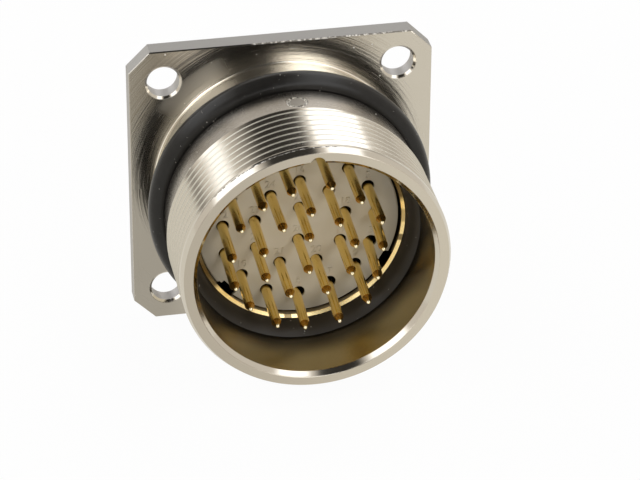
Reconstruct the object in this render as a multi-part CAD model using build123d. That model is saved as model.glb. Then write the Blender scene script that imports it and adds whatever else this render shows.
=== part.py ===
from build123d import *
import math
import os

# Circular industrial connector: a panel receptacle with a square flange, a threaded
# barrel and pin contacts. Millimetres. The axis is Y, the plug enters from -Y, and
# the origin is on the axis in the plane of the flange's back face.
# In a turned profile each point is (radius, distance ahead of the flange's back face).

# Shell, outside
thread_diameter = 27.0
thread_length = 8.2
thread_land = 1.0
thread_turns = 7
thread_depth_share = 0.6
thread_crest_share = 0.125
thread_root_share = 0.18
barrel_length = 19.0
flange_overhang = 2.0
flange_thickness = 2.0
flange_corner_cut = 2.2
hole_inset = 3.5
hole_diameter = 3.3
hole_edge_cut = 0.35
thread_end_cut = 0.2
relief_depth = 0.4
front_land = 0.5
front_edge_cut = 0.3

# Shell, inside
barrel_wall = 1.65
mouth_bevel = 0.45
mouth_bevel_depth = 0.5
shoulder_width = 1.15
shoulder_depth = 9.6
keyway_width = 1.6
keyway_depth = 5.0
keyway_bite = 0.9

# Shell, rear collar
collar_length = 3.5
collar_wall = 0.7
collar_edge_cut = 0.3
seat_step = 0.4
sleeve_flange_thickness = 1.0

# Rubber rings
coupling_cord = 2.2
coupling_groove_depth = 0.85
coupling_groove_width = 2.6
coupling_groove_offset = 3.3
flange_cord = 1.5
flange_groove_depth = 1.15
flange_groove_width = 1.9
flange_groove_gap = 0.55
bore_seal_inner_height = 1.0
bore_seal_outer_height = 2.8
bore_seal_bulge = 0.32

# Insulator and its metal sleeve
sleeve_wall = 0.38
sleeve_stand_out = 1.0
insert_recess = 0.7
insert_nose_length = 2.5
insert_nose_step = 0.12
insert_edge_cut = 0.45
joint_depth = 7.7
clamp_thickness = 2.5
rear_boss_step = 1.6
rear_boss_length = 5.0
key_notch_width = 2.0
key_notch_bite = 1.05
key_notch_depth = 3.0
key_notch_angles = (-31.0, -139.0)
ring_thickness = 2.0
ring_slot_width = 1.6
ring_slot_depth = 0.8

# Contacts, their rings and centre pair placed by a share of the insulator's radius
outer_ring_share = 0.76
outer_ring_count = 15
outer_ring_key_gap = 31.0
middle_ring_share = 0.4485
middle_ring_count = 9
centre_pair_share = 0.18
pin_diameter = 1.0
pin_length = 7.0
pin_tip_radius = 0.3
pin_cone_length = 0.55
collar_diameter = 1.9
contact_collar_length = 1.6
tail_diameter = 1.5
cup_length = 3.0
cup_bore = 1.0
cup_opening = 2.2

# Clearances
hole_play = 0.15
fit_play = 0.02
ring_play = 0.1

# The flange's square and its hole pattern
flange_side = thread_diameter + 2 * flange_overhang
hole_spacing = flange_side - 2 * hole_inset

# Radii of the shell
thread_radius = thread_diameter / 2
barrel_radius = thread_radius - relief_depth
bore_radius = thread_radius - barrel_wall
inner_bore_radius = bore_radius - shoulder_width
seat_radius = inner_bore_radius + seat_step
collar_radius = seat_radius + collar_wall

# Distances ahead of the flange's back face
rim_ahead = flange_thickness + barrel_length
shoulder_ahead = rim_ahead - shoulder_depth
sleeve_seat_ahead = flange_thickness + sleeve_flange_thickness
thread_front_ahead = rim_ahead - front_land
thread_rear_ahead = thread_front_ahead - thread_length
thread_pitch = (thread_length - thread_land - thread_end_cut) / thread_turns

# Radii and distances of the sleeve, the insulator and the contacts
sleeve_outer_radius = inner_bore_radius - fit_play
sleeve_inner_radius = sleeve_outer_radius - sleeve_wall
sleeve_front_ahead = shoulder_ahead + sleeve_stand_out
insert_radius = sleeve_inner_radius - fit_play
insert_front_ahead = sleeve_front_ahead - insert_recess
joint_ahead = insert_front_ahead - joint_depth
clamp_front_ahead = sleeve_seat_ahead - sleeve_flange_thickness
clamp_rear_ahead = clamp_front_ahead - clamp_thickness
insert_rear_ahead = clamp_rear_ahead - rear_boss_length
ring_rear_ahead = clamp_rear_ahead - ring_thickness
rear_boss_radius = seat_radius - rear_boss_step
tip_ahead = insert_front_ahead + pin_length
tail_ahead = insert_rear_ahead - cup_length
outer_ring_radius = outer_ring_share * insert_radius
middle_ring_radius = middle_ring_share * insert_radius
centre_pair_radius = centre_pair_share * insert_radius


def turned(*points):
    """A solid turned about the connector's axis from (radius, ahead) points."""
    outline = Polyline(*[(radius, -ahead) for radius, ahead in points], close=True)
    return revolve(make_face(outline), Axis.Y)


def rod(radius, rear, front, x=0.0, z=0.0):
    """A round rod along the axis, from rear to front, at x and z."""
    bar = turned((0, rear), (radius, rear), (radius, front), (0, front))
    return Pos(x, 0, z) * bar


def round_ring(centre_radius, cord, ahead):
    """An O-ring of the given cord about the connector's axis."""
    return Pos(0, -ahead, 0) * Rot(90, 0, 0) * Torus(centre_radius, cord / 2)


def polar(radius, degrees):
    """The x and z of a point on a circle about the axis, from +X towards +Z."""
    angle = math.radians(degrees)
    return radius * math.cos(angle), radius * math.sin(angle)


def contact_places():
    """Where the contacts stand: the outer ring, the middle ring, the centre pair."""
    outer_step = (360 - outer_ring_key_gap) / (outer_ring_count - 1)
    first = 90 - outer_ring_key_gap / 2
    places = [
        polar(outer_ring_radius, first - outer_step * index)
        for index in range(outer_ring_count)
    ]
    middle_step = 360 / middle_ring_count
    places += [
        polar(middle_ring_radius, 90 - middle_step * index)
        for index in range(middle_ring_count)
    ]
    places += [(0.0, centre_pair_radius), (0.0, -centre_pair_radius)]
    return places


def flange_plate():
    """The square flange with cut corners and four holes with broken edges."""
    plate = Pos(0, -flange_thickness / 2, 0) * Box(flange_side, flange_thickness, flange_side)
    plate = chamfer(plate.edges().filter_by(Axis.Y), flange_corner_cut)
    radius = hole_diameter / 2
    wide = radius + hole_edge_cut
    for x in (-hole_spacing / 2, hole_spacing / 2):
        for z in (-hole_spacing / 2, hole_spacing / 2):
            cutter = turned(
                (0, 0),
                (wide, 0),
                (radius, hole_edge_cut),
                (radius, flange_thickness - hole_edge_cut),
                (wide, flange_thickness),
                (0, flange_thickness),
            )
            plate -= Pos(x, 0, z) * cutter
    return plate


def thread_points():
    """The thread's crests and grooves, drawn as closed rings one pitch apart."""
    floor = thread_radius - thread_depth_share * thread_pitch
    crest = thread_crest_share * thread_pitch
    root = thread_root_share * thread_pitch
    flank = (thread_pitch - crest - root) / 2
    points = []
    for turn in range(thread_turns):
        crest_end = thread_rear_ahead + thread_end_cut + turn * thread_pitch + crest
        points += [
            (thread_radius, crest_end - crest),
            (thread_radius, crest_end),
            (floor, crest_end + flank),
            (floor, crest_end + flank + root),
        ]
    return points + [(thread_radius, thread_front_ahead - thread_land)]


def barrel_body():
    """The turned outside of the barrel, thread and rear collar, with its ring groove."""
    groove_rear = flange_thickness + coupling_groove_offset
    groove_front = groove_rear + coupling_groove_width
    floor = barrel_radius - coupling_groove_depth
    return turned(
        (0, -collar_length),
        (collar_radius - collar_edge_cut, -collar_length),
        (collar_radius, -collar_length + collar_edge_cut),
        (collar_radius, flange_thickness / 2),
        (barrel_radius, flange_thickness / 2),
        (barrel_radius, groove_rear),
        (floor, groove_rear),
        (floor, groove_front),
        (barrel_radius, groove_front),
        (barrel_radius, thread_rear_ahead),
        *thread_points(),
        (thread_radius, thread_front_ahead),
        (thread_radius - front_edge_cut, rim_ahead),
        (0, rim_ahead),
    )


def shell_bore():
    """The stepped hollow: mouth bevel, plug bore, shoulder, sleeve bore, rear seat."""
    return turned(
        (0, -collar_length),
        (seat_radius, -collar_length),
        (seat_radius, sleeve_seat_ahead),
        (inner_bore_radius, sleeve_seat_ahead),
        (inner_bore_radius, shoulder_ahead),
        (bore_radius, shoulder_ahead),
        (bore_radius, rim_ahead - mouth_bevel_depth),
        (bore_radius + mouth_bevel, rim_ahead),
        (0, rim_ahead),
    )


def flange_groove_radius():
    """The middle of the groove for the panel seal, just outside the rear collar."""
    return collar_radius + flange_groove_gap + flange_groove_width / 2


def make_shell():
    """The flange and barrel, one piece, bored, grooved and slotted for the key."""
    shell = flange_plate() + barrel_body() - shell_bore()
    half = flange_groove_width / 2
    inner = flange_groove_radius() - half
    outer = flange_groove_radius() + half
    shell -= turned(
        (inner, 0),
        (outer, 0),
        (outer, flange_groove_depth),
        (inner, flange_groove_depth),
    )
    key_centre = bore_radius + keyway_bite - keyway_width / 2
    shell -= rod(keyway_width / 2, rim_ahead - keyway_depth, rim_ahead, z=key_centre)
    return shell


def make_coupling_ring():
    """The rubber ring in the barrel's groove, which seals against the plug's nut."""
    floor = barrel_radius - coupling_groove_depth
    middle = flange_thickness + coupling_groove_offset + coupling_groove_width / 2
    return round_ring(floor + coupling_cord / 2, coupling_cord, middle)


def make_flange_ring():
    """The rubber ring in the flange's back, which seals against the panel."""
    return round_ring(flange_groove_radius(), flange_cord, flange_groove_depth - flange_cord / 2)


def make_bore_seal():
    """The rubber face seal on the shoulder, domed from the sleeve up to the bore."""
    inner = inner_bore_radius
    outer = bore_radius - fit_play
    low = (inner, -(shoulder_ahead + bore_seal_inner_height))
    high = (outer, -(shoulder_ahead + bore_seal_outer_height))
    outline = Curve() + [
        Line((outer, -shoulder_ahead), (inner, -shoulder_ahead)),
        Line((inner, -shoulder_ahead), low),
        SagittaArc(low, high, -bore_seal_bulge),
        Line(high, (outer, -shoulder_ahead)),
    ]
    return revolve(make_face(outline), Axis.Y)


def make_sleeve():
    """The thin metal sleeve round the insulator, with a flange behind the shell's step."""
    return turned(
        (sleeve_inner_radius, clamp_front_ahead),
        (seat_radius - fit_play, clamp_front_ahead),
        (seat_radius - fit_play, sleeve_seat_ahead),
        (sleeve_outer_radius, sleeve_seat_ahead),
        (sleeve_outer_radius, sleeve_front_ahead),
        (sleeve_inner_radius, sleeve_front_ahead),
    )


def make_front_insert():
    """The front half of the insulator, with the contact holes and two key notches."""
    nose = insert_radius - insert_nose_step
    nose_rear = insert_front_ahead - insert_nose_length
    insert = turned(
        (0, joint_ahead),
        (insert_radius, joint_ahead),
        (insert_radius, nose_rear),
        (nose, nose_rear),
        (nose, insert_front_ahead - insert_edge_cut),
        (nose - insert_edge_cut, insert_front_ahead),
        (0, insert_front_ahead),
    )
    collar_front = joint_ahead + contact_collar_length
    for x, z in contact_places():
        insert -= rod(pin_diameter / 2 + hole_play, collar_front, insert_front_ahead, x, z)
        insert -= rod(collar_diameter / 2 + fit_play, joint_ahead, collar_front, x, z)
    for angle in key_notch_angles:
        notch = Box(2 * key_notch_bite, key_notch_depth, key_notch_width)
        notch = Pos(nose, key_notch_depth / 2 - insert_front_ahead, 0) * notch
        insert -= Rot(0, -angle, 0) * notch
    return insert


def make_rear_insert():
    """The rear half of the insulator, clamped by its flange, with the tail holes."""
    insert = turned(
        (0, insert_rear_ahead),
        (rear_boss_radius, insert_rear_ahead),
        (rear_boss_radius, clamp_rear_ahead),
        (seat_radius - fit_play, clamp_rear_ahead),
        (seat_radius - fit_play, clamp_front_ahead),
        (insert_radius, clamp_front_ahead),
        (insert_radius, joint_ahead),
        (0, joint_ahead),
    )
    for x, z in contact_places():
        insert -= rod(tail_diameter / 2 + fit_play, insert_rear_ahead, joint_ahead, x, z)
    return insert


def make_retaining_ring():
    """The metal ring in the rear collar that holds the insulator, with key slots."""
    inner = rear_boss_radius + ring_play
    outer = seat_radius - fit_play
    ring = turned(
        (inner, ring_rear_ahead),
        (outer, ring_rear_ahead),
        (outer, clamp_rear_ahead),
        (inner, clamp_rear_ahead),
    )
    slot = Box(2 * seat_radius, ring_slot_depth, ring_slot_width)
    return ring - Pos(0, ring_slot_depth / 2 - (ring_rear_ahead + ring_slot_depth), 0) * slot


def make_contact():
    """One turned contact on the axis: pin, collar, tail and open solder cup."""
    pin = pin_diameter / 2
    tail = tail_diameter / 2
    collar = collar_diameter / 2
    collar_front = joint_ahead + contact_collar_length
    cone_front = tip_ahead - pin_tip_radius
    cone_rear = cone_front - pin_cone_length
    sides = Polyline(
        (0, -tail_ahead),
        (tail, -tail_ahead),
        (tail, -joint_ahead),
        (collar, -joint_ahead),
        (collar, -collar_front),
        (pin, -collar_front),
        (pin, -cone_rear),
        (pin_tip_radius, -cone_front),
    )
    tip = RadiusArc(sides @ 1, (0, -tip_ahead), pin_tip_radius)
    core = Line(tip @ 1, (0, -tail_ahead))
    contact = revolve(make_face(sides + tip + core), Axis.Y)
    contact -= rod(cup_bore / 2, tail_ahead, tail_ahead + cup_length)
    opening = Box(tail_diameter, cup_opening, tail)
    contact -= Pos(0, cup_opening / 2 - (tail_ahead + cup_opening), tail / 2) * opening
    return contact


def main():
    pieces = {
        "shell": make_shell(),
        "coupling_seal_ring": make_coupling_ring(),
        "flange_seal_ring": make_flange_ring(),
        "bore_seal": make_bore_seal(),
        "insert_sleeve": make_sleeve(),
        "front_insert": make_front_insert(),
        "rear_insert": make_rear_insert(),
        "retaining_ring": make_retaining_ring(),
    }
    contact = make_contact()
    for number, (x, z) in enumerate(contact_places(), start=1):
        pieces[f"contact_{number:02d}"] = Pos(x, 0, z) * contact
    os.makedirs("parts", exist_ok=True)
    for node, piece in pieces.items():
        export_step(piece, f"parts/{node}.step")


main()
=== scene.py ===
import math

import bmesh
import bpy
from mathutils import Matrix, Quaternion, Vector


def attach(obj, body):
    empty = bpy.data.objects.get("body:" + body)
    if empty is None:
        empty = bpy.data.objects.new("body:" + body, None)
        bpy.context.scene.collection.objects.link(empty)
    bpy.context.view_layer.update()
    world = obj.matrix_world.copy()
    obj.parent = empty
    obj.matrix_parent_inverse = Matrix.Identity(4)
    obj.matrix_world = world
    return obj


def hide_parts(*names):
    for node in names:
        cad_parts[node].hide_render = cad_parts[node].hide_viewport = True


# The looks of a circular industrial connector: a panel receptacle with a square flange,
# a threaded barrel, rubber rings and gold pin contacts. Shapes are built in millimetres
# and scaled to metres when they are finished. The axis is Y and the mouth faces -Y.
# In a turned profile each point is (radius, distance ahead of the flange's back face).

METRES = 0.001
MILLIMETRES = 1000.0
TURN_STEPS = 288
SMOOTH_UNDER = 20.0
MERGE = 0.0005
FINE_BUMP = 0.000006

# Shell, outside
THREAD_RADIUS = 13.5
THREAD_ROOT = 12.9
THREAD_PITCH = 1.0
THREAD_REAR = 11.8
THREAD_START = 0.8
THREAD_FRONT = 19.92
THREAD_RISE = 0.3
THREAD_FADE = 0.12
BARREL_RADIUS = 13.1
RIM = 21.0
FRONT_CHAMFER = (13.2, 20.32)
GROOVE = (12.25, 5.3, 8.1)
ROOT_FILLET = 0.2
FLANGE_SIDE = 31.0
FLANGE_THICKNESS = 2.0
FLANGE_CORNER = 2.2
FLANGE_EDGE = 0.1
HOLE_OFFSET = 12.0
HOLE_RADIUS = 1.65
HOLE_EDGE = 0.25
MARK_AHEAD = 10.4
MARK_RADIUS = 1.05
MARK_LINE = 0.26
MARK_DEPTH = 0.18

# Shell, inside and rear
BORE_RADIUS = 11.85
MOUTH_RADIUS = 12.3
MOUTH_AHEAD = 20.5
SHOULDER = 11.4
INNER_BORE = 10.7
SEAT_RADIUS = 11.1
SEAT_FIT = SEAT_RADIUS - 0.02
SEAT_AHEAD = 3.0
COLLAR_RADIUS = 11.8
COLLAR_END = -3.5
COLLAR_CUT = 0.3
SEAL_GROOVE = (12.35, 14.25, 1.15)
KEYWAY_RADIUS = 0.8
KEYWAY_CENTRE = 11.95
KEYWAY_END = 16.0
EDGE_BREAK = 0.06

# Rubber rings
COUPLING_RING = (13.31, 1.22, 6.79)
PANEL_RING = (13.3, 0.75, 0.4)
SEAL_INNER = (10.71, 12.35)
SEAL_OUTER = (11.83, 14.2)
SEAL_BULGE = 0.32

# Insulator and sleeve
SLEEVE_INNER = 10.3
SLEEVE_OUTER = 10.68
SLEEVE_LIP = 10.69
SLEEVE_FRONT = 12.4
LIP_SLOPE = 0.15
SLEEVE_REAR = 2.0
INSERT_RADIUS = 10.28
INSERT_NOSE = 10.19
NOSE_SHIFT = (-0.07, -0.04)
NOSE_EDGE_FROM = 9.8
INSERT_NOSE_REAR = 9.2
INSERT_FACE = 11.7
INSERT_EDGE = 0.16
JOINT = 4.0
CLAMP_REAR = -0.5
BOSS_RADIUS = 9.5
BOSS_END = -5.5
RING_REAR = -2.5
RING_SLOT = 1.6
NOTCHES = ((-30.4, -26.0), (-137.4, -143.2))
NOTCH = (1.9, 0.6)
NOTCH_SIDE = (0.5, 0.25)
NOTCH_DEPTH = 6.0

# Contacts
PIN_RADIUS = 0.5
PIN_TIP = 18.7
PIN_TIP_RADIUS = 0.23
PIN_CONE = 0.62
PLACE_SHIFTS = {
    2: (0.0, -0.18),
    5: (-0.08, -0.2),
    8: (-0.09, -0.2),
    9: (-0.28, -0.18),
    10: (-0.2, 0.0),
    11: (-0.2, 0.0),
    16: (0.0, 0.3),
    18: (0.1, 0.05),
    19: (0.16, -0.05),
    20: (0.16, -0.08),
    21: (-0.44, 0.04),
    22: (-0.42, 0.04),
    26: (-0.12, 0.04),
}
PIN_LEANS = {
    1: (-0.2, 0.18),
    2: (-0.04, -0.09),
    3: (0.02, -0.3),
    4: (-0.68, -0.3),
    5: (-0.68, -0.22),
    6: (-0.05, -0.43),
    7: (-0.35, -0.47),
    8: (-0.64, 0.05),
    9: (-0.12, -0.12),
    10: (-0.31, 0.15),
    11: (-0.13, -0.09),
    12: (-0.14, 0.0),
    13: (-0.12, 0.25),
    14: (0.09, 0.0),
    15: (0.12, -0.14),
    16: (-0.05, 0.02),
    17: (-0.2, -0.08),
    18: (-0.32, 0.03),
    19: (-0.16, 0.14),
    20: (-0.21, 0.24),
    21: (-0.16, 0.13),
    22: (-0.16, 0.23),
    23: (-0.25, 0.03),
    24: (0.09, -0.04),
    25: (-0.23, 0.22),
    26: (-0.19, 0.21),
}
TAIL_RADIUS = 0.75
TAIL_END = -8.5
COLLAR = (0.95, 5.6)
CUP = (0.5, -5.5)
CUP_OPENING = (2.0, 4.4, 1.5)
OUTER_RING = (7.813, 15, 31.0)
MIDDLE_RING = (4.611, 9)
CENTRE_PAIR = 1.85
HOLE_PLAY = 0.15
TAIL_PLAY = 0.02

# Moulded numbers
NUMBER_HEIGHT = 1.12
NUMBER_RISE = 1.25
NUMBER_STAND = 0.09
NUMBER_EDGE = 0.012

# Camera, from the photograph's measured view
CAMERA_PLACE = (-0.055459, -0.294334, 0.171087)
CAMERA_TARGET = (0.0, -0.022018, 0.004153)
CAMERA_ROLL = 0.371
CAMERA_LENS = 188.53
FLOOR_HEIGHT = -0.0155


class Value:
    """A number in a shader. Arithmetic on it adds the Math nodes."""

    def __init__(self, shader, socket):
        self.shader = shader
        self.socket = socket

    def math(self, operation, *values):
        node = self.shader.add("ShaderNodeMath", {"operation": operation}, dict(enumerate(values)))
        return Value(self.shader, node.outputs[0])

    def __add__(self, other):
        return self.math("ADD", self, other)

    __radd__ = __add__

    def __sub__(self, other):
        return self.math("SUBTRACT", self, other)

    def __rsub__(self, other):
        return self.math("SUBTRACT", other, self)

    def __mul__(self, other):
        return self.math("MULTIPLY", self, other)

    __rmul__ = __mul__

    def __pow__(self, other):
        return self.math("POWER", self, other)

    def __lt__(self, other):
        return self.math("LESS_THAN", self, other)

    def root(self):
        return self.math("SQRT", self)

    def size(self):
        return self.math("ABSOLUTE", self)

    def larger(self, other):
        return self.math("MAXIMUM", self, other)

    def clamp(self):
        return self.math("MINIMUM", self.larger(0.0), 1.0)

    def step(self, low, high):
        """0 below low and 1 above high, smooth in between."""
        node = self.shader.add(
            "ShaderNodeMapRange",
            {"interpolation_type": "SMOOTHSTEP"},
            {"Value": self, "From Min": low, "From Max": high},
        )
        return Value(self.shader, node.outputs[0])

    def band(self, low, high, soft):
        """1 between low and high, fading to 0 over soft on either side."""
        return self.step(low - soft, low) * (1 - self.step(high, high + soft))


class Shader:
    """A node tree, and one method that adds any node to it."""

    def __init__(self, tree):
        self.tree = tree
        self.tree.nodes.clear()

    def add(self, kind, settings=None, sockets=None):
        node = self.tree.nodes.new(kind)
        for name, value in (settings or {}).items():
            setattr(node, name, value)
        for name, value in (sockets or {}).items():
            if isinstance(value, Value):
                value = value.socket
            if isinstance(value, bpy.types.NodeSocket):
                self.tree.links.new(value, node.inputs[name])
            else:
                node.inputs[name].default_value = value
        return node

    def places(self):
        """Object coordinates in millimetres: the vector, x, distance ahead, and z."""
        coordinates = self.add("ShaderNodeTexCoord").outputs["Object"]
        scaled = self.add(
            "ShaderNodeVectorMath", {"operation": "SCALE"}, {0: coordinates, "Scale": MILLIMETRES}
        ).outputs[0]
        parts = self.add("ShaderNodeSeparateXYZ", None, {0: scaled}).outputs
        x, y, z = (Value(self, part) for part in parts)
        return scaled, x, 0 - y, z

    def noise(self, vector, scale, detail=2.0, roughness=0.5):
        node = self.add(
            "ShaderNodeTexNoise",
            None,
            {"Vector": vector, "Scale": scale, "Detail": detail, "Roughness": roughness},
        )
        return Value(self, node.outputs["Fac"])

    def lines(self, along, scale, detail=2.0):
        """Noise that changes along one value only, such as a radius."""
        node = self.add(
            "ShaderNodeTexNoise",
            {"noise_dimensions": "1D"},
            {"W": along, "Scale": scale, "Detail": detail},
        )
        return Value(self, node.outputs["Fac"])

    def vector(self, x, y, z):
        return self.add("ShaderNodeCombineXYZ", None, {0: x, 1: y, 2: z}).outputs[0]

    def blend(self, factor, first, second):
        """The first colour where factor is 0, the second where it is 1."""
        node = self.add("ShaderNodeMix", {"data_type": "RGBA"}, {0: factor, 6: first, 7: second})
        return node.outputs[2]

    def bump(self, height, distance):
        sockets = {"Height": height, "Distance": distance, "Strength": 1.0}
        return self.add("ShaderNodeBump", None, sockets).outputs[0]

    def surface(self, sockets):
        shader = self.add("ShaderNodeBsdfPrincipled", None, sockets).outputs[0]
        self.add("ShaderNodeOutputMaterial", None, {"Surface": shader})


def material(name):
    """A new empty material and the Shader that fills it."""
    made = bpy.data.materials.new(name)
    made.use_nodes = True
    return made, Shader(made.node_tree)


def colour(red, green, blue):
    return (red, green, blue, 1.0)


def specks(shader, vector, scale, chance, size):
    """Small round specks of dust, thinly scattered: 1 on a speck and 0 elsewhere."""
    cells = shader.add("ShaderNodeTexVoronoi", None, {"Vector": vector, "Scale": scale})
    distance = Value(shader, cells.outputs["Distance"])
    pick = shader.add("ShaderNodeSeparateColor", None, {0: cells.outputs["Color"]})
    chosen = Value(shader, pick.outputs[0]) < chance
    return (distance < size) * chosen


def nickel():
    """Bright nickel plate on turned brass: mirror faces, satin band, crests and plate edges, with
    painted light and shade: painted shade on the flange face, bore, band and plate sides, a brighter
    barrel root, and painted glints on edges and the stamp.
    """
    made, shader = material("nickel_plate")
    place, x, ahead, z = shader.places()
    radius = (x * x + z * z).root()
    angle = x.math("ARCTAN2", z, x)
    front_face = ahead.band(1.97, 2.03, 0.02) * radius.step(13.25, 13.35)
    corner_side = (x.size() + z.size()).step(28.6, 28.7)
    outline = x.size().larger(z.size()).step(15.38, 15.44).larger(corner_side)
    front_line = ahead.step(1.89, 1.92) * z.step(15.36, 15.4)
    outline = outline * (1 - ahead.step(1.89, 1.92))
    from_hole = ((x.size() - HOLE_OFFSET) ** 2 + (z.size() - HOLE_OFFSET) ** 2).root()
    hole_wall = (1 - from_hole.step(1.7, 1.75)) * ahead.band(0.27, 1.73, 0.02)
    root = ahead.band(2.05, 5.3, 0.05) * (1 - radius.step(13.3, 13.34))
    band = ahead.band(8.1, 11.8, 0.1) * radius.step(13.0, 13.05) * (1 - radius.step(13.12, 13.16))
    crest = radius.step(13.42, 13.45) * (1 - ahead.step(19.85, 19.95)) * ahead.step(11.9, 12.0)
    front_corner = ahead.band(20.24, 20.36, 0.02) * radius.step(13.4, 13.43) * x.band(-9.0, 1.5, 2.0)
    rim = ahead.step(20.9, 20.97)
    bore = ahead.band(11.0, 20.4, 0.2) * (1 - radius.step(11.95, 12.1))
    from_mark = (x * x + (ahead - MARK_AHEAD) ** 2).root()
    stamp = (1 - from_mark.step(MARK_RADIUS, MARK_RADIUS + 0.05)) * z.step(12.0, 12.2)
    stamp_line = from_mark.band(MARK_RADIUS - MARK_LINE, MARK_RADIUS, 0.03) * z.step(12.0, 12.2)
    # Painted shade on the bore wall next to the seal, reaching further forward at the lower sides.
    low_side = (z - x * 0.176).step(-9.0, -4.8)
    painted_seal_shade = bore * (1 - ahead.step(15.0 + low_side * 1.2, 18.4 + low_side * 2.4))
    # Painted shade on the left part of the flange face.
    painted_left_shade = front_face * (0 - x).step(5.0, 13.0)
    # Painted shade on the satin band next to the O-ring.
    painted_ring_shade = band * (1 - ahead.step(9.3, 10.4))
    hazy = front_face * radius.band(13.9, 15.2, 0.9) * angle.band(2.05, 2.45, 0.15)
    # A painted dark reflection on the thread's front land, over a short stretch left of the top.
    land = ahead.band(19.95, 20.22, 0.02) * radius.step(13.4, 13.43) * x.band(-6.0, -1.0, 0.6)
    fine = shader.lines(radius, 14.0, 4.0)
    axial = shader.lines(ahead, 9.0, 3.0)
    patches = shader.noise(place, 0.35, 3.0)
    arc = shader.vector(radius * 9.0, angle * 2.2, ahead * 3.0)
    scratches = shader.noise(arc, 1.0, 4.0, 0.6).step(0.55, 0.72)
    broad = shader.noise(shader.vector(radius * 3.2, angle * 1.4, 0.0), 1.0, 3.0)
    grain = shader.noise(place, 22.0, 2.0)
    coarse = shader.noise(place, 6.0, 3.0, 0.7)
    # Painted glints: noise split into bright and dark specks.
    painted_glints = shader.noise(place, 3.6, 3.0, 0.7).step(0.5, 0.56)
    dust = specks(shader, place, 1.1, 0.25, 0.09)
    rough = 0.1 + patches * 0.05 + front_face * (0.045 + scratches * 0.14)
    rough = rough + root * 0.06 + hazy * (0.24 - scratches * 0.16)
    rough = rough + band * (0.11 + grain * 0.06) + crest * 0.28 + outline * 0.4 + hole_wall * 0.38
    rough = rough + rim * 0.12 + stamp * 0.04 + front_corner * 0.25 + front_line * 0.3
    rough = rough + bore * 0.1
    height = fine * front_face + broad * front_face * 2.5 + axial * (band + root + bore * 0.3) * 0.8
    height = height + grain * (band + outline + rim) * 0.6 + coarse * stamp * 10.0
    tint = shader.blend(patches, colour(0.63, 0.59, 0.52), colour(0.66, 0.62, 0.555))
    # Painted shade on the left of the flange face, and a painted dark reflection in a wedge of it.
    tint = shader.blend(painted_left_shade * 0.36, tint, colour(0.0, 0.0, 0.0))
    shaded = front_face * angle.band(1.72, 1.98, 0.12) * 0.3
    tint = shader.blend(shaded, tint, colour(0.0, 0.0, 0.0))
    # Painted light: the barrel root is tinted brighter than the rest of the plate.
    tint = shader.blend(root, tint, colour(0.95, 0.9, 0.8))
    # Painted shade: the bore wall is tinted darker and browner than the outer plate, and darker still
    # next to the seal.
    tint = shader.blend(bore, tint, colour(0.49, 0.415, 0.235))
    tint = shader.blend(painted_seal_shade, tint, colour(0.11, 0.096, 0.072))
    tint = shader.blend(band, tint, colour(0.47, 0.437, 0.39))
    # Painted shade on the band beside the O-ring.
    tint = shader.blend(painted_ring_shade * 0.15, tint, colour(0.0, 0.0, 0.0))
    tint = shader.blend(crest, tint, colour(0.63, 0.6, 0.53))
    # The painted dark reflection on the land.
    tint = shader.blend(land, tint, colour(0.035, 0.033, 0.03))
    # The rim is tinted warm, with painted shade darker towards the left.
    rim_tint_shaded_left = shader.blend(x.step(-12.0, 12.0), colour(0.53, 0.485, 0.415), colour(0.66, 0.61, 0.525))
    tint = shader.blend(rim, tint, rim_tint_shaded_left)
    tint = shader.blend(outline, tint, colour(0.49, 0.478, 0.47))
    # Painted shade: the cut corners' sides and the top side are tinted darker than the other sides of
    # the plate.
    tint = shader.blend(outline * corner_side, tint, colour(0.415, 0.408, 0.395))
    tint = shader.blend(outline * z.step(15.38, 15.42), tint, colour(0.4, 0.392, 0.382))
    tint = shader.blend(hole_wall, tint, colour(0.5, 0.49, 0.485))
    # Painted shade and glints: the flange's top front edge is dark on the left and speckled with
    # painted glints to the right, and the thread's front corner is speckled too.
    painted_glint_speckle = shader.blend(painted_glints, colour(0.06, 0.055, 0.05), colour(0.9, 0.88, 0.84))
    tint = shader.blend(front_line * (0 - x).step(2.6, 3.2), tint, colour(0.03, 0.028, 0.025))
    tint = shader.blend(front_line * x.step(-3.2, -2.6) * 0.7 + front_corner * 0.9, tint, painted_glint_speckle)
    # Painted glints and dark specks along the stamped ring's groove.
    painted_stamp_glints = shader.noise(place, 6.5, 2.0).step(0.42, 0.5)
    tint = shader.blend(stamp_line * 0.85, tint, shader.blend(
        painted_stamp_glints, colour(0.08, 0.075, 0.07), colour(1.0, 0.98, 0.93)
    ))
    tint = shader.blend(dust * (front_face + band), tint, colour(0.95, 0.93, 0.88))
    rough = rough + dust * (front_face + band) * 0.4
    shader.surface({
        "Base Color": tint,
        "Metallic": 1.0,
        "Roughness": rough.clamp(),
        "Normal": shader.bump(height, FINE_BUMP),
    })
    return made


def rubber():
    """Black moulded rubber, slightly grey with handling, with a few specks of dust."""
    made, shader = material("black_rubber")
    place, x, ahead, z = shader.places()
    radius = (x * x + z * z).root()
    in_bore = ahead.step(10.5, 11.0) * (1 - radius.step(11.9, 12.0))
    bloom = shader.noise(place, 0.8, 3.0)
    grain = shader.noise(place, 14.0, 3.0)
    dust = specks(shader, place, 1.5, 0.4, 0.085) + specks(shader, place, 3.1, 0.12, 0.1)
    tint = shader.blend(bloom, colour(0.01, 0.0092, 0.0084), colour(0.019, 0.0178, 0.0165))
    tint = shader.blend(in_bore, tint, colour(0.036, 0.031, 0.025))
    tint = shader.blend(dust.clamp(), tint, colour(0.36, 0.34, 0.31))
    shader.surface({
        "Base Color": tint,
        "Roughness": 0.2 + bloom * 0.08 + in_bore * 0.18,
        "Specular IOR Level": 0.3,
        "Normal": shader.bump(grain, FINE_BUMP),
    })
    return made


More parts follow.
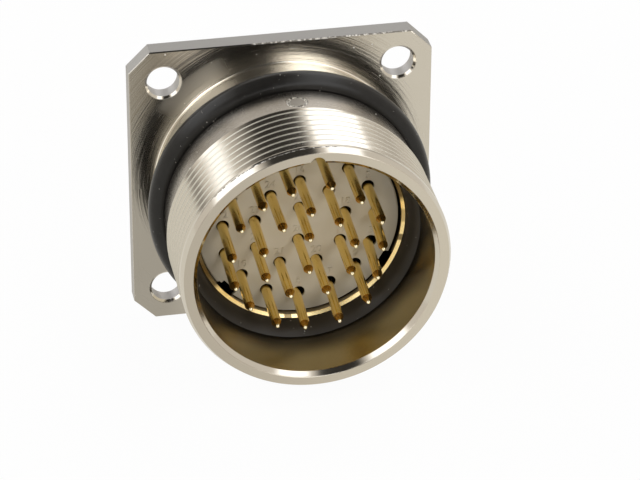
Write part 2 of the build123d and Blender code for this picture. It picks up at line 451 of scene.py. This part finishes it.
def gold():
    """Gold plate over turned brass, with faint drawing lines along the turning, a painted highlight on
    the lip and tips, and painted shade on the lip's unlit side, the tip cones and the sleeve's inner
    wall.
    """
    made, shader = material("gold_plate")
    place, x, ahead, z = shader.places()
    radius = (x * x + z * z).root()
    patches = shader.noise(place, 0.9, 3.0)
    axial = shader.lines(ahead, 6.0, 2.0)
    tint = shader.blend(patches, colour(0.89, 0.65, 0.2), colour(0.96, 0.74, 0.27))
    # Painted shade on the tip cone, tinted darker and more orange, and a painted highlight on the
    # rounded tip, tinted pale.
    cone = ahead.band(PIN_TIP - 0.86, PIN_TIP - 0.3, 0.06) * (1 - radius.step(9.5, 9.6))
    tint = shader.blend(cone, tint, colour(0.95, 0.62, 0.19))
    tint = shader.blend(ahead.step(PIN_TIP - 0.24, PIN_TIP - 0.18), tint, colour(1.0, 0.9, 0.62))
    # Painted light: the sleeve's lip is tinted brighter than the rest of the gold.
    lip = ahead.step(11.8, 11.9) * radius.band(SLEEVE_INNER - 0.1, SLEEVE_LIP + 0.05, 0.02)
    tint = shader.blend(lip, tint, colour(1.0, 0.8, 0.42))
    # Painted shade on the lip's unlit side, and painted dark reflections at several places on the lip.
    unlit = (z - x * 0.43).step(-2.9, -1.9) * 0.93
    painted_dark_reflections = x.band(-1.6, -1.0, 0.15).larger(z.band(-2.6, -2.1, 0.2))
    painted_dark_reflections = painted_dark_reflections.larger(z.band(-0.4, 0.7, 0.4) * 0.6)
    unlit = unlit.larger(painted_dark_reflections * 0.85)
    tint = shader.blend(lip * unlit, tint, colour(0.1, 0.07, 0.035))
    # Painted shade on the sleeve's inner wall.
    shaded_inner_wall = radius.band(SLEEVE_INNER - 0.03, SLEEVE_INNER + 0.005, 0.008)
    shaded_inner_wall = shaded_inner_wall * (1 - ahead.step(12.18, 12.22))
    tint = shader.blend(shaded_inner_wall, tint, colour(0.45, 0.39, 0.28))
    shader.surface({
        "Base Color": tint,
        "Metallic": 1.0,
        "Roughness": 0.15 + patches * 0.1 + lip * 0.05 + cone * 0.03,
        "Normal": shader.bump(axial, 0.000002),
    })
    return made


def plastic():
    """Warm light-grey moulded plastic with a fine matt grain and faint flow marks, with painted shade
    towards the edge and on the surfaces below the front face.
    """
    made, shader = material("insulator_plastic")
    place, x, ahead, z = shader.places()
    flow = shader.noise(place, 0.3, 3.0)
    grain = shader.noise(place, 9.0, 4.0)
    fibres = shader.noise(place, 30.0, 2.0).step(0.62, 0.7)
    radius = (x * x + z * z).root()
    tint = shader.blend(flow, colour(0.63, 0.57, 0.45), colour(0.72, 0.66, 0.54))
    # Painted shade, darker towards the insulator's edge.
    tint = shader.blend(radius.step(8.6, 10.2) * 0.3, tint, colour(0.2, 0.19, 0.17))
    # Painted shade, near black, on every surface below the insulator's front face: the holes, the
    # notches and the sides.
    painted_recess_shade = (1 - ahead.step(INSERT_FACE - 0.35, INSERT_FACE - 0.2)) * ahead.step(4.5, 5.0)
    tint = shader.blend(fibres * 0.25, tint, colour(0.7, 0.67, 0.6))
    tint = shader.blend(painted_recess_shade, tint, colour(0.01, 0.008, 0.005))
    shader.surface({
        "Base Color": tint,
        "Roughness": 0.44 + grain * 0.12,
        "Normal": shader.bump(grain, 0.00001),
    })
    return made


def at_angle(radius, degrees, ahead):
    turn = math.radians(degrees)
    return Vector((radius * math.cos(turn), -ahead, radius * math.sin(turn)))


def eased(points, cut=EDGE_BREAK):
    """The same profile with each of its inner corners broken by a small flat."""
    made = [points[0]]
    for before, corner, after in zip(points, points[1:], points[2:]):
        here = Vector(corner)
        back = Vector(before) - here
        forth = Vector(after) - here
        reach = min(cut, back.length * 0.3, forth.length * 0.3)
        made.append(tuple(here + back.normalized() * reach))
        made.append(tuple(here + forth.normalized() * reach))
    made.append(points[-1])
    return made


def spin_profile(bm, points, steps=TURN_STEPS, closed=False, rise=0.0):
    """Turns a (radius, ahead) profile about the axis. rise is a screw's lead."""
    corners = [bm.verts.new((radius, -ahead, 0.0)) for radius, ahead in points]
    pairs = list(zip(corners, corners[1:]))
    if closed:
        pairs.append((corners[-1], corners[0]))
    sides = [bm.edges.new(pair) for pair in pairs]
    bmesh.ops.spin(
        bm,
        geom=corners + sides,
        cent=(0, 0, 0),
        axis=(0, 1, 0),
        dvec=(0, rise / steps, 0),
        angle=2 * math.pi,
        steps=steps,
        use_merge=rise == 0.0,
    )


def tidy(bm):
    bmesh.ops.remove_doubles(bm, verts=bm.verts, dist=MERGE)
    bmesh.ops.dissolve_degenerate(bm, edges=bm.edges, dist=MERGE / 10)
    bmesh.ops.recalc_face_normals(bm, faces=bm.faces)


def to_object(bm, name):
    mesh = bpy.data.meshes.new(name)
    bm.to_mesh(mesh)
    bm.free()
    made = bpy.data.objects.new(name, mesh)
    bpy.context.scene.collection.objects.link(made)
    return made


def turned(name, points, steps=TURN_STEPS, closed=True):
    """A turned piece from its (radius, ahead) profile, still in millimetres."""
    bm = bmesh.new()
    spin_profile(bm, points, steps, closed)
    tidy(bm)
    return to_object(bm, name)


def rod(name, radius, rear, front, x=0.0, z=0.0, steps=48):
    """A closed round rod along the axis."""
    bm = bmesh.new()
    bmesh.ops.create_cone(
        bm, cap_ends=True, segments=steps, radius1=radius, radius2=radius, depth=front - rear
    )
    bmesh.ops.rotate(bm, verts=bm.verts, cent=(0, 0, 0), matrix=Matrix.Rotation(math.pi / 2, 3, "X"))
    bmesh.ops.translate(bm, verts=bm.verts, vec=(x, -(front + rear) / 2, z))
    return to_object(bm, name)


def joined(name, pieces):
    """One object from several, which are removed."""
    bm = bmesh.new()
    for piece in pieces:
        bm.from_mesh(piece.data)
        bpy.data.objects.remove(piece)
    return to_object(bm, name)


def carve(piece, cutter):
    """Cuts the cutter out of the piece and removes the cutter."""
    cut = piece.modifiers.new("carve", "BOOLEAN")
    cut.operation = "DIFFERENCE"
    cut.solver = "EXACT"
    cut.object = cutter
    bpy.context.view_layer.update()
    evaluated = piece.evaluated_get(bpy.context.evaluated_depsgraph_get())
    mesh = bpy.data.meshes.new_from_object(evaluated)
    piece.modifiers.clear()
    piece.data = mesh
    bpy.data.objects.remove(cutter)
    return piece


def finish_piece(piece, look, slot, *nodes):
    """Scales a piece to metres, sets its edges and finish, and puts it on its nodes. The slot is not
    used.
    """
    bm = bmesh.new()
    bm.from_mesh(piece.data)
    for face in bm.faces:
        face.smooth = True
        face.material_index = 0
    for edge in bm.edges:
        if len(edge.link_faces) == 2:
            edge.smooth = edge.calc_face_angle() < math.radians(SMOOTH_UNDER)
    bmesh.ops.scale(bm, vec=(METRES, METRES, METRES), verts=bm.verts)
    bm.to_mesh(piece.data)
    bm.free()
    piece.data.materials.clear()
    piece.data.materials.append(look)
    weights = piece.modifiers.new("weights", "WEIGHTED_NORMAL")
    weights.keep_sharp = True
    weights.weight = 90
    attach(piece, "root")
    if nodes:
        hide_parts(*nodes)
    return piece


def contact_places():
    """Where the contacts stand: the outer ring, the middle ring, the centre pair."""
    radius, count, gap = OUTER_RING
    step = (360 - gap) / (count - 1)
    places = [at_angle(radius, 90 - gap / 2 - step * index, 0) for index in range(count)]
    radius, count = MIDDLE_RING
    places += [at_angle(radius, 90 - 360 / count * index, 0) for index in range(count)]
    places += [Vector((0, 0, CENTRE_PAIR)), Vector((0, 0, -CENTRE_PAIR))]
    for number, (x, z) in PLACE_SHIFTS.items():
        places[number - 1] += Vector((x, 0, z))
    return places


def thread_profile():
    """One row of (radius, ahead) points along the thread, a turn past either end."""
    half_crest = 0.06
    ease = 0.035
    flank = (THREAD_RADIUS - THREAD_ROOT) * math.tan(math.radians(30))
    turn = [
        (THREAD_RADIUS - ease, -half_crest - ease * 0.6),
        (THREAD_RADIUS, -half_crest + ease),
        (THREAD_RADIUS, half_crest - ease),
        (THREAD_RADIUS - ease, half_crest + ease * 0.6),
        (THREAD_ROOT, half_crest + flank),
        (THREAD_ROOT, THREAD_PITCH - half_crest - flank),
    ]
    count = math.ceil((THREAD_FRONT - THREAD_REAR) / THREAD_PITCH) + 2
    points = []
    for index in range(-2, count):
        for radius, offset in turn:
            points.append((radius, THREAD_REAR + THREAD_START + index * THREAD_PITCH + offset))
    radius, offset = turn[0]
    points.append((radius, THREAD_REAR + THREAD_START + count * THREAD_PITCH + offset))
    return points


def add_thread(bm):
    """The right-hand thread, run out into the plain band behind and the land ahead."""
    before = set(bm.verts)
    spin_profile(bm, thread_profile(), rise=THREAD_PITCH)
    for vert in bm.verts:
        if vert in before:
            continue
        ahead = -vert.co.y
        radius = math.hypot(vert.co.x, vert.co.z)
        into = max(0.0, min(1.0, (ahead - THREAD_REAR) / THREAD_RISE))
        left = max(0.0, min(1.0, (THREAD_FRONT - ahead) / THREAD_FADE))
        wanted = BARREL_RADIUS + (radius - BARREL_RADIUS) * into
        wanted = THREAD_RADIUS + (wanted - THREAD_RADIUS) * left
        vert.co.x *= wanted / radius
        vert.co.z *= wanted / radius
        vert.co.y = -max(THREAD_REAR, min(THREAD_FRONT, ahead))


def shell_rear_profile():
    """From the thread's rear end back along the barrel to the flange's front face."""
    floor, rear, front = GROOVE
    fillet = []
    for index in range(6):
        turn = math.radians(90 * index / 5)
        radius = BARREL_RADIUS + ROOT_FILLET * (1 - math.sin(turn))
        fillet.append((radius, FLANGE_THICKNESS + ROOT_FILLET * (1 - math.cos(turn))))
    points = [
        fillet[-1],
        (BARREL_RADIUS, rear),
        (floor, rear),
        (floor, front),
        (BARREL_RADIUS, front),
        (BARREL_RADIUS, THREAD_REAR),
    ]
    return fillet[:-1] + eased(points)


def shell_front_profile():
    """From the thread's front end round the rim, down the bore and out to the back face."""
    inner, outer, depth = SEAL_GROOVE
    points = [
        (THREAD_RADIUS, THREAD_FRONT),
        (THREAD_RADIUS, FRONT_CHAMFER[1]),
        (FRONT_CHAMFER[0], RIM),
        (MOUTH_RADIUS, RIM),
        (BORE_RADIUS, MOUTH_AHEAD),
        (BORE_RADIUS, SHOULDER),
        (INNER_BORE, SHOULDER),
        (INNER_BORE, SEAT_AHEAD),
        (SEAT_RADIUS, SEAT_AHEAD),
        (SEAT_RADIUS, COLLAR_END),
        (COLLAR_RADIUS - COLLAR_CUT, COLLAR_END),
        (COLLAR_RADIUS, COLLAR_END + COLLAR_CUT),
        (COLLAR_RADIUS, 0.0),
        (inner, 0.0),
        (inner, depth),
        (outer, depth),
        (outer, 0.0),
    ]
    return eased(points, 0.03)


def flange_plate():
    """The square plate with cut corners, broken edges, four holes and a round opening."""
    bm = bmesh.new()
    bmesh.ops.create_cube(bm, size=1.0)
    bmesh.ops.scale(bm, vec=(FLANGE_SIDE, FLANGE_THICKNESS, FLANGE_SIDE), verts=bm.verts)
    bmesh.ops.translate(bm, verts=bm.verts, vec=(0, -FLANGE_THICKNESS / 2, 0))
    along = [edge for edge in bm.edges if abs(edge.verts[0].co.y - edge.verts[1].co.y) > 1]
    bmesh.ops.bevel(
        bm, geom=along, offset=FLANGE_CORNER, segments=1, profile=0.5, affect="EDGES", material=-1
    )
    across = [edge for edge in bm.edges if abs(edge.verts[0].co.y - edge.verts[1].co.y) < 0.01]
    bmesh.ops.bevel(
        bm, geom=across, offset=FLANGE_EDGE, segments=2, profile=0.5, affect="EDGES", material=-1
    )
    plate = to_object(bm, "flange_plate")
    wide = HOLE_RADIUS + HOLE_EDGE
    over = 0.3
    hole = [
        (0.0, -over),
        (wide + over, -over),
        (HOLE_RADIUS, HOLE_EDGE),
        (HOLE_RADIUS, FLANGE_THICKNESS - HOLE_EDGE),
        (wide + over, FLANGE_THICKNESS + over),
        (0.0, FLANGE_THICKNESS + over),
    ]
    cutters = []
    for x in (-HOLE_OFFSET, HOLE_OFFSET):
        for z in (-HOLE_OFFSET, HOLE_OFFSET):
            bm = bmesh.new()
            spin_profile(bm, hole, 96)
            tidy(bm)
            bmesh.ops.translate(bm, verts=bm.verts, vec=(x, 0, z))
            cutters.append(to_object(bm, "hole_cutter"))
    front = BARREL_RADIUS + ROOT_FILLET
    slope = (SEAL_GROOVE[1] - front) / FLANGE_THICKNESS
    opening = [
        (0.0, -1.0),
        (SEAL_GROOVE[1] + slope, -1.0),
        (front - slope, FLANGE_THICKNESS + 1.0),
        (0.0, FLANGE_THICKNESS + 1.0),
    ]
    cutters.append(turned("opening_cutter", opening, closed=False))
    return carve(plate, joined("flange_cutters", cutters))


def make_shell(look):
    """Flange, barrel, thread, bore and rear collar as one closed skin."""
    plate = flange_plate()
    bm = bmesh.new()
    bm.from_mesh(plate.data)
    bpy.data.objects.remove(plate)
    inside = []
    for face in bm.faces:
        middle = face.calc_center_median()
        within = math.hypot(middle.x, middle.z) < SEAL_GROOVE[1]
        if within and 0.02 < -middle.y < FLANGE_THICKNESS - 0.02:
            inside.append(face)
    bmesh.ops.delete(bm, geom=inside, context="FACES")
    spin_profile(bm, shell_rear_profile())
    spin_profile(bm, shell_front_profile())
    add_thread(bm)
    tidy(bm)
    shell = to_object(bm, "receptacle_shell")
    keyway = rod("keyway_cutter", KEYWAY_RADIUS, KEYWAY_END, RIM + 1, z=KEYWAY_CENTRE)
    mark = turned("mark_cutter", [
        (MARK_RADIUS - MARK_LINE, -1.0),
        (MARK_RADIUS, -1.0),
        (MARK_RADIUS, 1.0),
        (MARK_RADIUS - MARK_LINE, 1.0),
    ], 64)
    bm = bmesh.new()
    bm.from_mesh(mark.data)
    bmesh.ops.rotate(bm, verts=bm.verts, cent=(0, 0, 0), matrix=Matrix.Rotation(math.pi / 2, 3, "X"))
    bmesh.ops.translate(bm, verts=bm.verts, vec=(0, -MARK_AHEAD, BARREL_RADIUS - MARK_DEPTH + 1))
    bm.to_mesh(mark.data)
    bm.free()
    carve(shell, keyway)
    carve(shell, mark)
    return finish_piece(shell, look, "nickel_plate", "shell")


def make_round_ring(name, ring, look, node, floor=0.0):
    """An O-ring turned from a round section, pressed flat where it meets a groove's floor."""
    centre, cord, ahead = ring
    sides = 40
    section = []
    for index in range(sides):
        turn = 2 * math.pi * index / sides
        radius = max(centre + cord * math.cos(turn), floor)
        section.append((radius, ahead + cord * math.sin(turn)))
    return finish_piece(turned(name, section, 240), look, "black_rubber", node)


def make_bore_seal(look):
    """The face seal, domed between the sleeve and the bore."""
    low = Vector(SEAL_INNER)
    high = Vector(SEAL_OUTER)
    outward = Vector((-(high - low).y, (high - low).x)).normalized()
    section = [(SEAL_OUTER[0], SHOULDER), (SEAL_INNER[0], SHOULDER)]
    steps = 12
    for index in range(steps + 1):
        share = index / steps
        lift = 4 * share * (1 - share) * SEAL_BULGE
        section.append(tuple(low.lerp(high, share) + outward * lift))
    return finish_piece(turned("bore_face_seal", section), look, "black_rubber", "bore_seal")


def make_sleeve(look):
    """The thin gold-plated sleeve round the insulator, flanged behind the shell's step."""
    section = [
        (SLEEVE_INNER, SLEEVE_REAR),
        (SEAT_FIT, SLEEVE_REAR),
        (SEAT_FIT, SEAT_AHEAD),
        (SLEEVE_OUTER, SEAT_AHEAD),
        (SLEEVE_OUTER, SHOULDER + 0.05),
        (SLEEVE_LIP, SHOULDER + 0.15),
        (SLEEVE_LIP, SLEEVE_FRONT - 0.03),
        (SLEEVE_LIP - 0.03, SLEEVE_FRONT),
        (SLEEVE_INNER + 0.02, SLEEVE_FRONT - LIP_SLOPE),
        (SLEEVE_INNER, SLEEVE_FRONT - LIP_SLOPE - 0.02),
    ]
    return finish_piece(turned("insulator_sleeve", section), look, "gold_plate", "insert_sleeve")


def make_front_insert(look):
    """The insulator's front half with its contact holes and the two key notches."""
    section = [
        (0.0, JOINT),
        (INSERT_RADIUS, JOINT),
        (INSERT_RADIUS, INSERT_NOSE_REAR),
        (INSERT_NOSE, INSERT_NOSE_REAR),
        (INSERT_NOSE, INSERT_FACE - INSERT_EDGE),
        (INSERT_NOSE - INSERT_EDGE * 0.3, INSERT_FACE - INSERT_EDGE * 0.3),
        (INSERT_NOSE - INSERT_EDGE, INSERT_FACE),
        (0.0, INSERT_FACE),
    ]
    insert = turned("insulator_front", section, closed=False)
    cutters = [
        rod("hole", PIN_RADIUS + HOLE_PLAY, JOINT + 1.6, INSERT_FACE + 1, place.x, place.z, 40)
        for place in contact_places()
    ]
    carve(insert, joined("contact_holes", cutters))
    for angle, side_angle in NOTCHES:
        for turned_by, (width, bite) in ((angle, NOTCH), (side_angle, NOTCH_SIDE)):
            bm = bmesh.new()
            bmesh.ops.create_cube(bm, size=1.0)
            bmesh.ops.scale(bm, vec=(2 * bite, 2 * NOTCH_DEPTH, width), verts=bm.verts)
            bmesh.ops.translate(bm, verts=bm.verts, vec=(INSERT_NOSE, -INSERT_FACE, 0.0))
            turn = Matrix.Rotation(math.radians(-turned_by), 3, "Y")
            bmesh.ops.rotate(bm, verts=bm.verts, cent=(0, 0, 0), matrix=turn)
            carve(insert, to_object(bm, "notch"))
    for vert in insert.data.vertices:
        from_axis = math.hypot(vert.co.x, vert.co.z)
        if -vert.co.y > INSERT_NOSE_REAR - 0.01 and NOSE_EDGE_FROM < from_axis < INSERT_NOSE + 0.01:
            vert.co.x += NOSE_SHIFT[0]
            vert.co.z += NOSE_SHIFT[1]
    return finish_piece(insert, look, "insulator_plastic", "front_insert")


def make_numbers(look):
    """Raised contact numbers on the insulator's face, each above its contact."""
    numbers = []
    for index, place in enumerate(contact_places(), start=1):
        text = bpy.data.curves.new("number", "FONT")
        text.body = str(index)
        text.align_x = "CENTER"
        text.align_y = "CENTER"
        text.size = NUMBER_HEIGHT
        text.extrude = NUMBER_STAND
        text.offset = -NUMBER_EDGE
        text.bevel_depth = NUMBER_EDGE
        text.resolution_u = 4
        holder = bpy.data.objects.new("number", text)
        bpy.context.scene.collection.objects.link(holder)
        bpy.context.view_layer.update()
        evaluated = holder.evaluated_get(bpy.context.evaluated_depsgraph_get())
        mesh = bpy.data.meshes.new_from_object(evaluated)
        bpy.data.objects.remove(holder)
        bm = bmesh.new()
        bm.from_mesh(mesh)
        upright = Matrix.Rotation(math.pi / 2, 3, "X")
        bmesh.ops.rotate(bm, verts=bm.verts, cent=(0, 0, 0), matrix=upright)
        spot = (place.x, -INSERT_FACE, place.z + NUMBER_RISE)
        bmesh.ops.translate(bm, verts=bm.verts, vec=spot)
        bmesh.ops.remove_doubles(bm, verts=bm.verts, dist=MERGE / 5)
        numbers.append(to_object(bm, "number"))
    return finish_piece(joined("insulator_numbers", numbers), look, "insulator_plastic")


def make_rear_insert(look):
    """The insulator's rear half, with its clamped flange and the tail holes."""
    section = [
        (0.0, BOSS_END),
        (BOSS_RADIUS, BOSS_END),
        (BOSS_RADIUS, CLAMP_REAR),
        (SEAT_FIT, CLAMP_REAR),
        (SEAT_FIT, SLEEVE_REAR),
        (INSERT_RADIUS, SLEEVE_REAR),
        (INSERT_RADIUS, JOINT),
        (0.0, JOINT),
    ]
    insert = turned("insulator_rear", eased(section, 0.15), closed=False)
    cutters = [
        rod("hole", TAIL_RADIUS + TAIL_PLAY, BOSS_END - 1, JOINT + 1, place.x, place.z, 40)
        for place in contact_places()
    ]
    carve(insert, joined("tail_holes", cutters))
    return finish_piece(insert, look, "insulator_plastic", "rear_insert")


def make_retaining_ring(look):
    """The slotted metal ring that holds the insulator in the rear collar."""
    section = eased([
        (BOSS_RADIUS + 0.1, CLAMP_REAR),
        (BOSS_RADIUS + 0.1, RING_REAR),
        (SEAT_FIT, RING_REAR),
        (SEAT_FIT, CLAMP_REAR),
    ], 0.1)
    ring = turned("retaining_ring_rear", section)
    bm = bmesh.new()
    bmesh.ops.create_cube(bm, size=1.0)
    bmesh.ops.scale(bm, vec=(30.0, RING_SLOT, RING_SLOT), verts=bm.verts)
    bmesh.ops.translate(bm, verts=bm.verts, vec=(0, -RING_REAR, 0))
    carve(ring, to_object(bm, "ring_slot"))
    return finish_piece(ring, look, "nickel_plate", "retaining_ring")


def make_contacts(look):
    """Turned pin contacts with rounded tips and open solder cups."""
    cone_front = PIN_TIP - PIN_TIP_RADIUS
    section = [
        (0.0, TAIL_END),
        (TAIL_RADIUS, TAIL_END),
        (TAIL_RADIUS, JOINT),
        (COLLAR[0], JOINT),
        COLLAR,
        (PIN_RADIUS, COLLAR[1]),
        (PIN_RADIUS, cone_front - PIN_CONE),
        (PIN_TIP_RADIUS, cone_front),
    ]
    steps = 6
    for index in range(1, steps + 1):
        turn = math.pi / 2 * index / steps
        point = (PIN_TIP_RADIUS * math.cos(turn), cone_front + PIN_TIP_RADIUS * math.sin(turn))
        section.append(point)
    section[-1] = (0.0, PIN_TIP)
    pattern = turned("contact_pattern", section, 40, closed=False)
    carve(pattern, rod("cup", CUP[0], TAIL_END - 1, CUP[1], steps=32))
    bm = bmesh.new()
    bmesh.ops.create_cube(bm, size=1.0)
    bmesh.ops.scale(bm, vec=CUP_OPENING, verts=bm.verts)
    bmesh.ops.translate(bm, verts=bm.verts, vec=(0, -TAIL_END, CUP_OPENING[2] / 2))
    carve(pattern, to_object(bm, "cup_opening"))
    for number, place in enumerate(contact_places(), start=1):
        bm = bmesh.new()
        bm.from_mesh(pattern.data)
        lean = PIN_LEANS.get(number, (0.0, 0.0))
        for vert in bm.verts:
            along = max(0.0, -vert.co.y - INSERT_FACE) / (PIN_TIP - INSERT_FACE)
            vert.co.x += lean[0] * along
            vert.co.z += lean[1] * along
        bmesh.ops.translate(bm, verts=bm.verts, vec=place)
        pin = to_object(bm, f"pin_contact_{number:02d}")
        finish_piece(pin, look, "gold_plate", f"contact_{number:02d}")
    bpy.data.objects.remove(pattern)


def light_studio():
    """The room as two long soft strips overhead, pale warm walls, and a dark gap between."""
    world = bpy.data.worlds.new("studio")
    bpy.context.scene.world = world
    world.use_nodes = True
    shader = Shader(world.node_tree)
    ray = shader.add("ShaderNodeTexCoord").outputs["Generated"]
    x, y, z = (Value(shader, part) for part in shader.add(
        "ShaderNodeSeparateXYZ", None, {0: ray}
    ).outputs)
    angle = x.math("ARCTAN2", z, x) * (180 / math.pi)
    full_angle = angle + (angle < -90.0) * 360.0
    ahead = (0 - y).step(0.45, 0.85)
    behind = y.step(0.86, 0.95)
    lowest = 50 - ahead * 23 - y.step(0.4, 0.8) * 14
    right = angle.step(lowest - 3, lowest + 3) * (1 - angle.step(71 - ahead * 7, 76 - ahead * 8))
    left = angle.step(118 + ahead * 22, 126 + ahead * 24)
    left = left * (1 - angle.step(152 + ahead * 4, 160 + ahead * 8))
    gap = angle.step(76 - ahead * 7, 83 - ahead * 8) * (1 - angle.step(111.0, 120 + ahead * 26))
    gap = gap * (1 - y.step(0.6, 0.84))
    depth = y.size().step(0.5, 0.65)
    left_edge = full_angle.band(178 - ahead * 4, 188 - ahead * 6, 5.0) * depth
    right_edge = angle.band(12.0, 20.0, 6.0) * depth * (1 - ahead)
    walls = 0.8 * (1 - gap * 0.95) * (1 - left_edge * 0.6) * (1 - right_edge * 0.4)
    lamps = right * (1.3 + ahead * 0.5 - y.step(0.6, 0.84))
    lamps = lamps + left * (1.3 - ahead * 0.2 - y.step(0.6, 0.84))
    walls = walls + (1 - walls) * behind
    path = shader.add("ShaderNodeLightPath").outputs
    seen = Value(shader, path["Is Camera Ray"])
    level = walls + lamps * (1 - behind)
    strength = level + (1 - level) * seen
    whiteness = (lamps + behind + seen).clamp()
    tint = shader.blend(whiteness, colour(1.0, 0.94, 0.85), colour(1.0, 1.0, 1.0))
    background = shader.add("ShaderNodeBackground", None, {"Color": tint, "Strength": strength})
    shader.add("ShaderNodeOutputWorld", None, {"Surface": background.outputs[0]})


def lay_floor():
    """A plain white floor that keeps a faint shadow."""
    made, shader = material("studio_floor")
    path = shader.add("ShaderNodeLightPath").outputs
    seen = Value(shader, path["Is Camera Ray"])
    mirrored = Value(shader, path["Is Glossy Ray"])
    plain = shader.add("ShaderNodeBsdfDiffuse", None, {"Color": colour(0.8, 0.8, 0.8)}).outputs[0]
    tint = shader.blend(seen, colour(0.9, 0.87, 0.79), colour(1.0, 1.0, 1.0))
    white = shader.add("ShaderNodeEmission", None, {"Color": tint}).outputs[0]
    share = (seen * 0.96 + mirrored * 0.88).clamp()
    mixed = shader.add("ShaderNodeMixShader", None, {0: share, 1: plain, 2: white})
    shader.add("ShaderNodeOutputMaterial", None, {"Surface": mixed.outputs[0]})
    bm = bmesh.new()
    bmesh.ops.create_grid(bm, x_segments=1, y_segments=1, size=3.0)
    bmesh.ops.translate(bm, verts=bm.verts, vec=(0, 0, FLOOR_HEIGHT))
    floor = to_object(bm, "studio_floor")
    floor.data.materials.append(made)


def set_camera():
    camera = bpy.data.objects.new("camera", bpy.data.cameras.new("camera"))
    bpy.context.scene.collection.objects.link(camera)
    camera.data.sensor_width = 36.0
    camera.data.lens = CAMERA_LENS
    camera.data.clip_start = 0.01
    camera.data.clip_end = 20.0
    place = Vector(CAMERA_PLACE)
    aim = (Vector(CAMERA_TARGET) - place).to_track_quat("-Z", "Y")
    roll = Quaternion((0, 0, 1), math.radians(CAMERA_ROLL))
    camera.matrix_world = Matrix.Translation(place) @ (aim @ roll).to_matrix().to_4x4()
    bpy.context.scene.camera = camera


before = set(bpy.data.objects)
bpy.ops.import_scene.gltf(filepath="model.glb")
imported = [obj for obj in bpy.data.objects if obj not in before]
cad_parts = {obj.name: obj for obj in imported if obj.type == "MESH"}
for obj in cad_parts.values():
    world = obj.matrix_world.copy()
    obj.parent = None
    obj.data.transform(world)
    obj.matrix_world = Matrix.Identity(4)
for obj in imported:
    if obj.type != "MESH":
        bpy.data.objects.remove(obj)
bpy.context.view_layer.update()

nickel_look = nickel()
rubber_look = rubber()
gold_look = gold()
plastic_look = plastic()

make_shell(nickel_look)
make_retaining_ring(nickel_look)
make_round_ring("coupling_ring", COUPLING_RING, rubber_look, "coupling_seal_ring", GROOVE[0] + 0.01)
make_round_ring("panel_ring", PANEL_RING, rubber_look, "flange_seal_ring")
make_bore_seal(rubber_look)
make_sleeve(gold_look)
make_front_insert(plastic_look)
make_numbers(plastic_look)
make_rear_insert(plastic_look)
make_contacts(gold_look)

light_studio()
lay_floor()
set_camera()
bpy.context.scene.view_settings.view_transform = "Standard"
